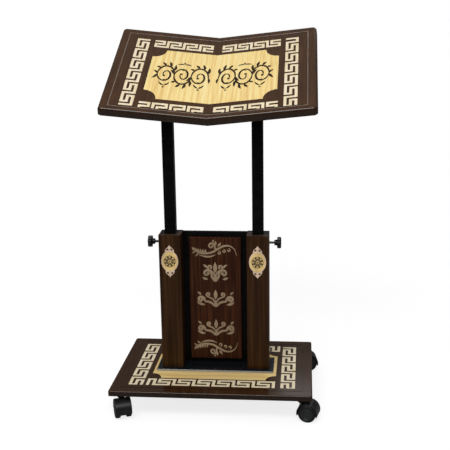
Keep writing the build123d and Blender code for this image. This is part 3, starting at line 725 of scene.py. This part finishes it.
# height above the wheel's outer face, and radius
WHEEL_RINGS = ((-2.0, 14.2), (-1.0, 14.1), (-0.8, 13.7), (-0.8, 12.5), (-1.2, 12.1), (-1.2, 10.4),
               (-0.7, 10.0), (-0.6, 9.4), (-0.6, 8.6), (-1.0, 8.2), (-1.0, 6.2), (-0.1, 5.6), (0.25, 4.6),
               (0.35, 2.4), (0.3, 1.6), (0.0, 1.3), (0.0, 0.4))


def wheel_rings(corner, letter):
    """Stepped rings and a button in the dished outer face of one wheel."""
    spots = {}
    for each in "ab":
        low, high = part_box(f"caster_{corner}_wheel_{each}")
        spots[each] = (low + high) / 2
    axis = (spots[letter] - spots["b" if letter == "a" else "a"]).normalized()
    outer = max(v.co.dot(axis) for v in nodes[f"caster_{corner}_wheel_{letter}"].data.vertices)
    hub = spots[letter] + axis * (outer - spots[letter].dot(axis))
    mesh = bmesh.new()
    turned(mesh, hub, axis, WHEEL_RINGS, 56)
    return mesh


def islands(node):
    """Corner points of each separate solid in a node."""
    mesh = bmesh.new()
    mesh.from_mesh(nodes[node].data)
    bmesh.ops.remove_doubles(mesh, verts=mesh.verts, dist=0.01 * MM)
    groups, seen = [], set()
    for vert in mesh.verts:
        if vert in seen:
            continue
        group, queue = [], [vert]
        seen.add(vert)
        while queue:
            spot = queue.pop()
            group.append(spot.co.copy())
            for edge in spot.link_edges:
                other = edge.other_vert(spot)
                if other not in seen:
                    seen.add(other)
                    queue.append(other)
        groups.append(group)
    mesh.free()
    return groups


def cross_recess(mesh, centre, axis, radius, height, turn):
    """Pan head with a real cross recess, pressed down from a fine round grid."""
    axis = Vector(axis).normalized()
    side = axis.orthogonal().normalized()
    side.rotate(Matrix.Rotation(turn, 3, axis))
    other = axis.cross(side)
    sides, steps = 48, 14
    arm, half, depth = radius * 0.62, radius * 0.15, height * 0.62

    def point(x, y, z):
        return mesh.verts.new(Vector(centre) + (side * x + other * y + axis * z) * MM)

    rings = []
    for k in range(steps + 1):
        share = 1 - k / (steps + 1)
        ring = []
        for n in range(sides):
            angle = math.tau * n / sides
            x, y = radius * share * math.cos(angle), radius * share * math.sin(angle)
            z = height * (1 - share ** 3.2 * 0.75)
            far, near = max(abs(x), abs(y)), min(abs(x), abs(y))
            across, along = (half + 0.12 - near) / 0.24, (arm - far) / 0.5
            inside = min(1.0, max(0.0, across)) * min(1.0, max(0.0, along))
            ring.append(point(x, y, z - depth * inside))
        rings.append(ring)
    foot = [polar((0, 0), radius, math.tau * n / sides) for n in range(sides)]
    rings.insert(0, [point(spot.x, spot.y, 0) for spot in foot])
    loft(mesh, rings)


def screws(node, axis_of, shank):
    """Cross-recess screws in the places of a node's plain ones; axis_of gives the way a head looks."""
    mesh = bmesh.new()
    for index, group in enumerate(islands(node)):
        middle = sum(group, Vector()) / len(group)
        axis = axis_of(middle)
        outer = max(spot.dot(axis) for spot in group)
        inner = min(spot.dot(axis) for spot in group)
        line = [spot - axis * spot.dot(axis) for spot in group]
        core = (Vector(map(min, *line)) + Vector(map(max, *line))) / 2
        radius = max((spot - core).length for spot in line) / MM
        height = radius * 0.56
        seat = core + axis * (outer - height * MM)
        cross_recess(mesh, seat, axis, radius, height, 0.5 + index * 1.1)
        reach = (outer - inner) / MM - height
        turned(mesh, seat, -axis, ((-0.2, shank), (reach - 3, shank), (reach, 0.4)), 16)
    return mesh


def weld_bead(side):
    """Rippled weld where a tube meets the underside of its bracket."""
    tube_low, tube_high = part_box(f"{side}_tube")
    under = facing(f"{side}_bracket", Vector((0, 0.5, -0.86)))
    level = max(v.co.dot(under) for v in nodes[f"{side}_bracket"].data.vertices)
    centre = (tube_low + tube_high) / 2
    corner = 2.5 * MM
    reach = (tube_high.x - tube_low.x) / 2 - corner
    spots = []
    for quarter in range(4):
        diagonal = math.pi / 4 + quarter * math.pi / 2
        for k in range(9):
            angle = math.pi / 2 * (quarter + k / 8)
            x = centre.x + math.copysign(reach, math.cos(diagonal)) + corner * math.cos(angle)
            y = centre.y + math.copysign(reach, math.sin(diagonal)) + corner * math.sin(angle)
            spots.append(Vector((x, y, 0)))
    dense = []
    for a, b in zip(spots, spots[1:] + spots[:1]):
        count = max(1, int((b - a).length / (0.8 * MM)))
        dense += [a.lerp(b, k / count) for k in range(count)]
    for spot in dense:
        spot.z = (level - spot.x * under.x - spot.y * under.y) / under.z
    mesh = bmesh.new()
    rings = []
    for k, spot in enumerate(dense):
        along = (dense[(k + 1) % len(dense)] - dense[k - 1]).normalized()
        out = along.cross(under).normalized()
        radius = (1.9 + 0.22 * math.sin(k * 1.9) + random.uniform(-0.08, 0.08)) * MM
        ring = []
        for n in range(10):
            angle = math.tau * n / 10
            ring.append(mesh.verts.new(spot + (out * math.cos(angle) + under * math.sin(angle)) * radius))
        rings.append(ring)
    loft(mesh, rings, closed_loop=True)
    return mesh


# ---------------------------------------------------------------- build the pieces
# heights above the panel's foot in millimetres
SCROLLS = (("top", 268.5, 1), ("bottom", 26.0, -1))         # name, height, way up
MOTIFS = ((214.5, 31, 25), (150.0, 45, 22), (78.0, 45, 21))     # height, half width, half height
LEAF_BEAD = ((0, 156.2), (211.1, 156.2), (211.1, -133.5), (0, -133.5))
MAST_SCREWS = (("bracket_screws", 1.9), ("strap_screws", 1.9))      # node, radius of the shank
BASE_SCREWS = (("column_screws", 1.9), ("caster_screws", 1.6))


def add_side(side, leaf):
    """Ornament and hardware that each side has once."""
    add_piece(f"{side}_leaf_arabesque", leaf_arabesque(leaf), "mast", "maple_veneer", "burnt_ink")
    face = front_face(f"{side}_medallion")
    add_piece(f"{side}_medallion_field", medallion_field(face), "base", "gold_medallion", "gold_field")
    add_piece(f"{side}_medallion_rim", medallion_rim(face), "base", "gold_medallion")
    raised = Face(face.at(0, 0, FIELD_TOP), face.across, face.up)
    add_piece(f"{side}_medallion_rosette", rosette(raised), "base", "gold_medallion", "rosette_ink")
    made = add_piece(f"{side}_hand_knob", knob(side), f"{side}_knob", "black_plastic")
    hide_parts(f"{side}_lock_knob")
    made = add_piece(f"{side}_threaded_stud", thread(side), f"{side}_stud", "zinc_steel", "dark_zinc")
    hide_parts(f"{side}_lock_stud")
    add_piece(f"{side}_tube_weld", weld_bead(side), "mast", "black_steel")


def add_panel_ornament():
    panel = front_face("front_panel")
    panel_low, panel_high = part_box("front_panel")
    foot = (panel_low.z - panel_high.z) / 2 / MM
    for name, height, way in SCROLLS:
        mesh = panel_scroll(panel, foot + height, way)
        add_piece(f"panel_scroll_{name}", mesh, "base", "panel_board", "pale_engraving")
    for number, (height, half_width, half_height) in enumerate(MOTIFS, 1):
        mesh = panel_motif(panel, foot + height, half_width, half_height)
        add_piece(f"panel_motif_{number}", mesh, "base", "panel_board", "pale_engraving")


def add_wheel_rings():
    for corner in CORNERS:
        for letter in "ab":
            add_piece(f"caster_{corner}_rings_{letter}", wheel_rings(corner, letter),
                      f"{corner}_wheel_{letter}", "caster_wheel", "wheel_ring")


def add_screws(rows, body, axis_of):
    for node_name, shank in rows:
        made = add_piece(f"{node_name}_cross", screws(node_name, axis_of, shank), body, "zinc_steel")
        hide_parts(node_name)


def build():
    leaves = leaf_faces()
    for side in SIDES:
        add_side(side, leaves[side])
    add_panel_ornament()
    for side in SIDES:
        # the bead beside each leaf groove takes a lighter brown, a painted highlight
        bead = moulding(leaves[side], LEAF_BEAD)
        add_piece(f"{side}_leaf_bead", bead, "mast", "lacquered_board", "painted_highlight_bead")
    add_wheel_rings()
    add_screws(MAST_SCREWS, "mast", lambda middle: -leaves["left" if middle.x < 0 else "right"].out)
    add_screws(BASE_SCREWS, "base", lambda middle: Vector((0, 0, -1)))
    finish_cad_nodes()


build()


# ---------------------------------------------------------------- stage
FILL = 0.5              # even light from all round
FLOOR_GLOW = 0.8        # lifts the floor to near white, for camera rays only
FLOOR_RADIUS = 2.4
FLOOR_FADE = (0.55, 1.9)    # distances between which the floor fades out
SKY = ((0.0, 0.3), (0.5, 0.08), (0.68, 0.09), (0.8, 0.17), (1.0, 0.3))      # reflected, from below to above
LENS = 61.2
SHIFT = (-0.051, -0.0556)
CAMERA_PLACE = (0.2039, -1.691, 0.8378)
CAMERA_TURN = (0.07518, -0.2184, 0.00849)       # yaw, pitch and roll in radians
LIT_POINT = (0, 0, 0.4)


def soft_box(name, place, size, power):
    """Rectangular area light aimed at the middle of the stand."""
    lamp = bpy.data.lights.new(name, "AREA")
    lamp.shape = "RECTANGLE"
    lamp.size, lamp.size_y = size
    lamp.energy = power
    made = bpy.data.objects.new(name, lamp)
    bpy.context.scene.collection.objects.link(made)
    made.location = place
    made.rotation_mode = "QUATERNION"
    made.rotation_quaternion = (Vector(LIT_POINT) - Vector(place)).to_track_quat("-Z", "Y")


def studio_world():
    """White backdrop for the camera, even fill for the light, and a dimmer sky for reflections."""
    world = bpy.data.worlds.new("studio")
    bpy.context.scene.world = world
    world.use_nodes = True
    tree = world.node_tree

    def node(kind, **settings):
        made = tree.nodes.new(kind)
        for key, value in settings.items():
            setattr(made, key, value)
        return made

    coordinate = node("ShaderNodeTexCoord")
    split = node("ShaderNodeSeparateXYZ")
    shift = node("ShaderNodeMapRange")
    shift.inputs["From Min"].default_value = -1.0
    ramp = node("ShaderNodeValToRGB")
    path = node("ShaderNodeLightPath")
    glossy = node("ShaderNodeMix", data_type="RGBA")
    seen = node("ShaderNodeMix", data_type="RGBA")
    tree.links.new(coordinate.outputs["Generated"], split.inputs["Vector"])
    tree.links.new(split.outputs["Z"], shift.inputs["Value"])
    tree.links.new(shift.outputs["Result"], ramp.inputs["Fac"])
    points = ramp.color_ramp.elements
    while len(points) < len(SKY):
        points.new(0.5)
    for point, (position, tone) in zip(points, SKY):
        point.position = position
        point.color = (tone, tone, tone, 1.0)
    tree.links.new(path.outputs["Is Glossy Ray"], glossy.inputs[0])
    glossy.inputs[6].default_value = (FILL, FILL, FILL, 1.0)
    tree.links.new(ramp.outputs["Color"], glossy.inputs[7])
    tree.links.new(path.outputs["Is Camera Ray"], seen.inputs[0])
    tree.links.new(glossy.outputs[2], seen.inputs[6])
    seen.inputs[7].default_value = (1.0, 1.0, 1.0, 1.0)
    tree.links.new(seen.outputs[2], tree.nodes["Background"].inputs["Color"])


def pale_floor():
    """Round pale floor that fades into the backdrop."""
    mesh = bmesh.new()
    bmesh.ops.create_circle(mesh, cap_ends=True, segments=96, radius=FLOOR_RADIUS)
    data = bpy.data.meshes.new("floor")
    mesh.to_mesh(data)
    mesh.free()
    floor = bpy.data.objects.new("floor", data)
    bpy.context.scene.collection.objects.link(floor)
    made = Finish("pale_floor", 0.9, Specular_IOR_Level=0.0)
    grain = made.noise(made.coordinates((0.4, 0.4, 0.4)), 2.0)
    made.colour(made.ramp(grain, (0.3, (0.27, 0.27, 0.27)), (0.7, (0.29, 0.29, 0.29))))
    made.shader.inputs["Emission Color"].default_value = (1.0, 1.0, 1.0, 1.0)
    glow = made.spread(made.node("ShaderNodeLightPath").outputs["Is Camera Ray"], 0.0, FLOOR_GLOW)
    made.link(glow, made.shader.inputs["Emission Strength"])
    source = made.node("ShaderNodeTexCoord")
    reach = made.node("ShaderNodeVectorMath", operation="LENGTH")
    made.link(source.outputs["Object"], reach.inputs[0])
    fade = made.node("ShaderNodeMapRange", interpolation_type="SMOOTHSTEP")
    fade.inputs["From Min"].default_value, fade.inputs["From Max"].default_value = FLOOR_FADE
    fade.inputs["To Min"].default_value = 1.0
    fade.inputs["To Max"].default_value = 0.0
    made.link(reach.outputs["Value"], fade.inputs["Value"])
    made.link(fade.outputs["Result"], made.shader.inputs["Alpha"])
    data.materials.append(made.material)


def photo_camera():
    """Camera at the reference viewing angle, a little to the right and above the stand."""
    data = bpy.data.cameras.new("camera")
    camera = bpy.data.objects.new("camera", data)
    bpy.context.scene.collection.objects.link(camera)
    bpy.context.scene.camera = camera
    data.lens = LENS
    data.sensor_width = 36.0
    data.shift_x, data.shift_y = SHIFT
    data.clip_start = 0.05
    data.clip_end = 50.0
    yaw, pitch, roll = CAMERA_TURN
    turn = Matrix.Rotation(yaw, 3, "Z") @ Matrix.Rotation(pitch, 3, "X") @ Matrix.Rotation(roll, 3, "Y")
    camera.rotation_mode = "QUATERNION"
    camera.rotation_quaternion = (turn @ Matrix.Rotation(math.pi / 2, 3, "X")).to_quaternion()
    camera.location = CAMERA_PLACE


studio_world()
pale_floor()
photo_camera()
soft_box("key", (-0.3, -1.7, 2.5), (2.2, 0.9), 41)
soft_box("behind", (0.7, 2.3, 2.2), (1.6, 1.6), 7)
bpy.context.scene.view_settings.view_transform = "Standard"
